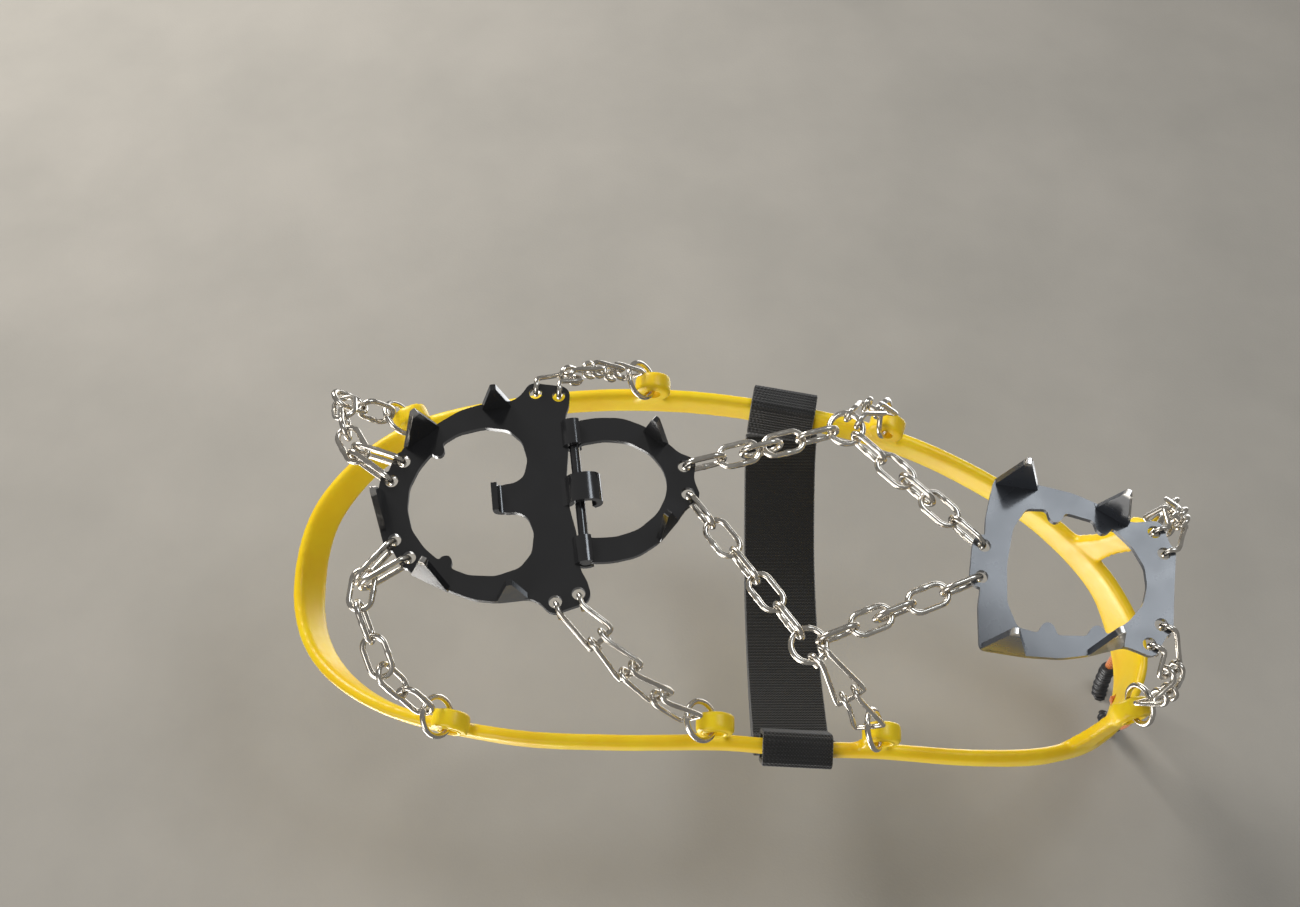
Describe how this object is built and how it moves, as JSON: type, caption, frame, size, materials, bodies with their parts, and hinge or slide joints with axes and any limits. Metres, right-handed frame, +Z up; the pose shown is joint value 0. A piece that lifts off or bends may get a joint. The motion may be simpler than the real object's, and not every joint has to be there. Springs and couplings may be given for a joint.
{
  "type": "shoe ice cleat",
  "caption": "Strap-on shoe ice cleat: studded steel plates joined by welded chain and ladder chain to an elastic harness with an instep strap and a heel pull loop.",
  "frame": {"origin": "middle of the bounding box in X and Y, on the plane of the stud tips", "axes": "+Z up from the stud tips to the foot, +Y from toe to heel, +X to the outer side of the left foot"},
  "size_m": [0.1344, 0.292, 0.1517],
  "materials": {
    "elastomer": "moulded, satin",
    "black_paint": "gloss black, bare at the sheared edges",
    "satin_paint": "satin black, bare at the stud tips",
    "zinc": "bright zinc",
    "webbing": "ribbed webbing",
    "cord": "braided cord",
    "tube": "matt sleeve",
    "label": "woven patch with a stitched border"
  },
  "bodies": {
    "harness": {"harness_band": "elastomer", "inner_webbing_loop": "webbing", "outer_webbing_loop": "webbing", "instep_strap": "webbing", "front_plate": "black_paint", "heel_plate": "satin_paint", "inner_master_ring": "zinc", "outer_master_ring": "zinc", "toe_inner_lug_ring": "zinc", "ball_inner_lug_ring": "zinc", "arch_inner_lug_ring": "zinc", "heel_inner_lug_ring": "zinc", "toe_outer_lug_ring": "zinc", "ball_outer_lug_ring": "zinc", "arch_outer_lug_ring": "zinc", "heel_outer_lug_ring": "zinc", "toe_inner_front_hole_link": "zinc", "toe_inner_rear_hole_link": "zinc", "toe_outer_front_hole_link": "zinc", "toe_outer_rear_hole_link": "zinc"},
    "arch_plate": {"arch_plate": "black_paint"},
    "inner_front_run": {"inner_front_run_a": "zinc", "inner_front_run_b": "zinc"},
    "outer_front_run": {"outer_front_run_a": "zinc", "outer_front_run_b": "zinc", "outer_front_run_c": "zinc"},
    "ball_inner_links_1": {"ball_inner_unit_1": "zinc"},
    "ball_inner_links_2": {"ball_inner_unit_2": "zinc"},
    "ball_inner_links_3": {"ball_inner_unit_3": "zinc", "ball_inner_unit_4": "zinc"},
    "ball_outer_links_1": {"ball_outer_unit_1": "zinc"},
    "ball_outer_links_2": {"ball_outer_unit_2": "zinc"},
    "ball_outer_links_3": {"ball_outer_unit_3": "zinc", "ball_outer_unit_4": "zinc"},
    "heel_inner_links_1": {"heel_inner_unit_1": "zinc"},
    "heel_inner_links_2": {"heel_inner_unit_2": "zinc"},
    "heel_inner_links_3": {"heel_inner_unit_3": "zinc"},
    "heel_outer_links_1": {"heel_outer_unit_1": "zinc"},
    "heel_outer_links_2": {"heel_outer_unit_2": "zinc"},
    "heel_outer_links_3": {"heel_outer_unit_3": "zinc"},
    "arch_inner_links_1": {"arch_inner_unit_1": "zinc"},
    "arch_inner_links_2": {"arch_inner_unit_2": "zinc"},
    "arch_outer_links_1": {"arch_outer_unit_1": "zinc"},
    "arch_outer_links_2": {"arch_outer_unit_2": "zinc"},
    "inner_rear_run_a": {"inner_rear_run_a": "zinc"},
    "inner_rear_run_b": {"inner_rear_run_b": "zinc"},
    "outer_rear_run_a": {"outer_rear_run_a": "zinc"},
    "outer_rear_run_b": {"outer_rear_run_b": "zinc"},
    "outer_rear_run_c": {"outer_rear_run_c": "zinc"},
    "toe_inner_fold_link": {"toe_inner_fold_link": "zinc"},
    "toe_inner_strand_a": {"toe_inner_strand_a": "zinc"},
    "toe_inner_strand_b": {"toe_inner_strand_b": "zinc"},
    "toe_outer_fold_link": {"toe_outer_fold_link": "zinc"},
    "toe_outer_strand_a": {"toe_outer_strand_a": "zinc"},
    "toe_outer_strand_b": {"toe_outer_strand_b": "zinc"},
    "strap_flap": {"strap_flap": "webbing", "label_patch": "label"},
    "buckle_ring": {"buckle_ring": "zinc"},
    "pull_loop": {"pull_cord": "cord", "pull_grip_tube": "tube"}
  },
  "joints": [
    {"name": "arch_fold", "type": "hinge", "parent": "harness", "child": "arch_plate", "pos_m": [0.00843, -0.0469, 0.019], "axis": [0.9936, -0.1132, 0], "range_deg": [-4, 6]},
    {"name": "inner_run_swing", "type": "hinge", "parent": "arch_plate", "child": "inner_front_run", "pos_m": [0.00537, -0.01197, 0.019], "axis": [0.5903, 0.8072, 0], "range_deg": [-7.2, 4.8]},
    {"name": "outer_run_swing", "type": "hinge", "parent": "arch_plate", "child": "outer_front_run", "pos_m": [0.01742, -0.01197, 0.019], "axis": [0.9679, -0.2514, 0], "range_deg": [-11, 7.4]},
    {"name": "ball_inner_kink_1", "type": "hinge", "parent": "harness", "child": "ball_inner_links_1", "pos_m": [-0.02839, -0.04882, 0.019], "axis": [0.3539, 0.9353, 0], "range_deg": [-4, 4]},
    {"name": "ball_inner_kink_2", "type": "hinge", "parent": "ball_inner_links_1", "child": "ball_inner_links_2", "pos_m": [-0.0377, -0.0399, 0.02243], "axis": [0.5861, 0.7308, -0.3499], "range_deg": [-8, 8]},
    {"name": "ball_inner_kink_3", "type": "hinge", "parent": "ball_inner_links_2", "child": "ball_inner_links_3", "pos_m": [-0.04598, -0.03072, 0.02732], "axis": [0.3736, 0.7023, -0.606], "range_deg": [-4, 4]},
    {"name": "ball_outer_kink_1", "type": "hinge", "parent": "harness", "child": "ball_outer_links_1", "pos_m": [0.04387, -0.05705, 0.019], "axis": [-0.1344, 0.9909, 0], "range_deg": [-4, 4]},
    {"name": "ball_outer_kink_2", "type": "hinge", "parent": "ball_outer_links_1", "child": "ball_outer_links_2", "pos_m": [0.0503, -0.0503, 0.02305], "axis": [-0.4682, 0.7394, -0.4837], "range_deg": [-8, 8]},
    {"name": "ball_outer_kink_3", "type": "hinge", "parent": "ball_outer_links_2", "child": "ball_outer_links_3", "pos_m": [0.0553, -0.04351, 0.02864], "axis": [-0.2433, 0.7456, -0.6203], "range_deg": [-4, 4]},
    {"name": "heel_inner_kink_1", "type": "hinge", "parent": "harness", "child": "heel_inner_links_1", "pos_m": [-0.03877, 0.12537, 0.019], "axis": [0.812, 0.5837, 0], "range_deg": [-4, 4]},
    {"name": "heel_inner_kink_2", "type": "hinge", "parent": "heel_inner_links_1", "child": "heel_inner_links_2", "pos_m": [-0.0473, 0.12813, 0.02298], "axis": [0.461, 0.8288, 0.3171], "range_deg": [-8, 8]},
    {"name": "heel_inner_kink_3", "type": "hinge", "parent": "heel_inner_links_2", "child": "heel_inner_links_3", "pos_m": [-0.05164, 0.12795, 0.03096], "axis": [0.4636, 0.8518, 0.2437], "range_deg": [-4, 4]},
    {"name": "heel_outer_kink_1", "type": "hinge", "parent": "harness", "child": "heel_outer_links_1", "pos_m": [-0.00767, 0.13057, 0.019], "axis": [-0.9578, 0.2875, 0], "range_deg": [-4, 4]},
    {"name": "heel_outer_kink_2", "type": "hinge", "parent": "heel_outer_links_1", "child": "heel_outer_links_2", "pos_m": [0.00124, 0.13605, 0.02239], "axis": [-0.6214, 0.7151, 0.3201], "range_deg": [-8, 8]},
    {"name": "heel_outer_kink_3", "type": "hinge", "parent": "heel_outer_links_2", "child": "heel_outer_links_3", "pos_m": [0.00712, 0.13855, 0.0299], "axis": [-0.7318, 0.6507, 0.2027], "range_deg": [-4, 4]},
    {"name": "arch_inner_kink_1", "type": "hinge", "parent": "harness", "child": "arch_inner_links_1", "pos_m": [-0.04391, 0.02493, 0.019], "axis": [-0.6919, -0.722, 0], "range_deg": [-4, 4]},
    {"name": "arch_inner_kink_2", "type": "hinge", "parent": "arch_inner_links_1", "child": "arch_inner_links_2", "pos_m": [-0.05336, 0.03424, 0.02827], "axis": [-0.4146, -0.847, 0.3327], "range_deg": [-8, 8]},
    {"name": "arch_outer_kink_1", "type": "hinge", "parent": "harness", "child": "arch_outer_links_1", "pos_m": [0.03379, 0.03921, 0.019], "axis": [-0.6508, 0.7593, 0], "range_deg": [-4, 4]},
    {"name": "arch_outer_kink_2", "type": "hinge", "parent": "arch_outer_links_1", "child": "arch_outer_links_2", "pos_m": [0.04161, 0.04613, 0.02872], "axis": [-0.5068, 0.8443, -0.1741], "range_deg": [-8, 8]},
    {"name": "inner_rear_twist_a", "type": "hinge", "parent": "harness", "child": "inner_rear_run_a", "pos_m": [-0.02571, 0.05738, 0.019], "axis": [-0.3722, -0.9282, 0], "range_deg": [-8, 8]},
    {"name": "inner_rear_twist_b", "type": "hinge", "parent": "harness", "child": "inner_rear_run_b", "pos_m": [-0.03463, 0.03511, 0.019], "axis": [-0.3722, -0.9282, 0], "range_deg": [-8, 8]},
    {"name": "outer_rear_twist_a", "type": "hinge", "parent": "harness", "child": "outer_rear_run_a", "pos_m": [-0.00087, 0.06676, 0.019], "axis": [0.7047, -0.7095, 0], "range_deg": [-8, 8]},
    {"name": "outer_rear_twist_b", "type": "hinge", "parent": "harness", "child": "outer_rear_run_b", "pos_m": [0.00925, 0.05656, 0.019], "axis": [0.7047, -0.7095, 0], "range_deg": [-8, 8]},
    {"name": "outer_rear_twist_c", "type": "hinge", "parent": "harness", "child": "outer_rear_run_c", "pos_m": [0.01938, 0.04637, 0.019], "axis": [0.7047, -0.7095, 0], "range_deg": [-8, 8]},
    {"name": "toe_inner_fold_twist", "type": "hinge", "parent": "harness", "child": "toe_inner_fold_link", "pos_m": [-0.02295, -0.11091, 0.01907], "axis": [-0.9957, -0.0894, 0.0255], "range_deg": [-6, 6]},
    {"name": "toe_inner_twist_a", "type": "hinge", "parent": "harness", "child": "toe_inner_strand_a", "pos_m": [-0.03696, -0.10787, 0.02335], "axis": [-0.8537, 0.3357, 0.3981], "range_deg": [-6, 6]},
    {"name": "toe_inner_twist_b", "type": "hinge", "parent": "harness", "child": "toe_inner_strand_b", "pos_m": [-0.04943, -0.09901, 0.03511], "axis": [-0.3582, 0.5375, 0.7634], "range_deg": [-6, 6]},
    {"name": "toe_outer_fold_twist", "type": "hinge", "parent": "harness", "child": "toe_outer_fold_link", "pos_m": [0.02429, -0.11721, 0.01907], "axis": [0.8626, -0.5053, 0.0247], "range_deg": [-6, 6]},
    {"name": "toe_outer_twist_a", "type": "hinge", "parent": "harness", "child": "toe_outer_strand_a", "pos_m": [0.03734, -0.12177, 0.02535], "axis": [0.7972, -0.1782, 0.5768], "range_deg": [-6, 6]},
    {"name": "toe_outer_twist_b", "type": "hinge", "parent": "harness", "child": "toe_outer_strand_b", "pos_m": [0.0462, -0.1186, 0.03736], "axis": [0.047, 0.6532, 0.7557], "range_deg": [-6, 6]},
    {"name": "flap_peel", "type": "hinge", "parent": "harness", "child": "strap_flap", "pos_m": [-0.05603, 0.02083, 0.08605], "axis": [0, -1, 0], "range_deg": [0, 70]},
    {"name": "buckle_rock", "type": "hinge", "parent": "harness", "child": "buckle_ring", "pos_m": [-0.05686, 0.02083, 0.07476], "axis": [0, 1, 0], "range_deg": [-1.5, 1.5]},
    {"name": "pull_loop_tilt", "type": "hinge", "parent": "harness", "child": "pull_loop", "pos_m": [-0.02366, 0.13883, 0.104], "axis": [-1, 0, 0], "range_deg": [-6, 8]}
  ],
  "couplings": [
    {"joint": "inner_run_swing", "follows": "arch_fold", "ratio": -1.166},
    {"joint": "outer_run_swing", "follows": "arch_fold", "ratio": -1.799},
    {"joint": "ball_inner_kink_2", "follows": "ball_inner_kink_1", "ratio": -2},
    {"joint": "ball_inner_kink_3", "follows": "ball_inner_kink_1", "ratio": 1},
    {"joint": "ball_outer_kink_2", "follows": "ball_outer_kink_1", "ratio": -2},
    {"joint": "ball_outer_kink_3", "follows": "ball_outer_kink_1", "ratio": 1},
    {"joint": "heel_inner_kink_2", "follows": "heel_inner_kink_1", "ratio": -2},
    {"joint": "heel_inner_kink_3", "follows": "heel_inner_kink_1", "ratio": 1},
    {"joint": "heel_outer_kink_2", "follows": "heel_outer_kink_1", "ratio": -2},
    {"joint": "heel_outer_kink_3", "follows": "heel_outer_kink_1", "ratio": 1},
    {"joint": "arch_inner_kink_2", "follows": "arch_inner_kink_1", "ratio": -2},
    {"joint": "arch_outer_kink_2", "follows": "arch_outer_kink_1", "ratio": -2},
    {"joint": "inner_rear_twist_b", "follows": "inner_rear_twist_a", "ratio": -1},
    {"joint": "outer_rear_twist_b", "follows": "outer_rear_twist_a", "ratio": -1},
    {"joint": "outer_rear_twist_c", "follows": "outer_rear_twist_a", "ratio": 1},
    {"joint": "toe_inner_twist_a", "follows": "toe_inner_fold_twist", "ratio": -1},
    {"joint": "toe_inner_twist_b", "follows": "toe_inner_fold_twist", "ratio": 1},
    {"joint": "toe_outer_twist_a", "follows": "toe_outer_fold_twist", "ratio": -1},
    {"joint": "toe_outer_twist_b", "follows": "toe_outer_fold_twist", "ratio": 1}
  ]
}
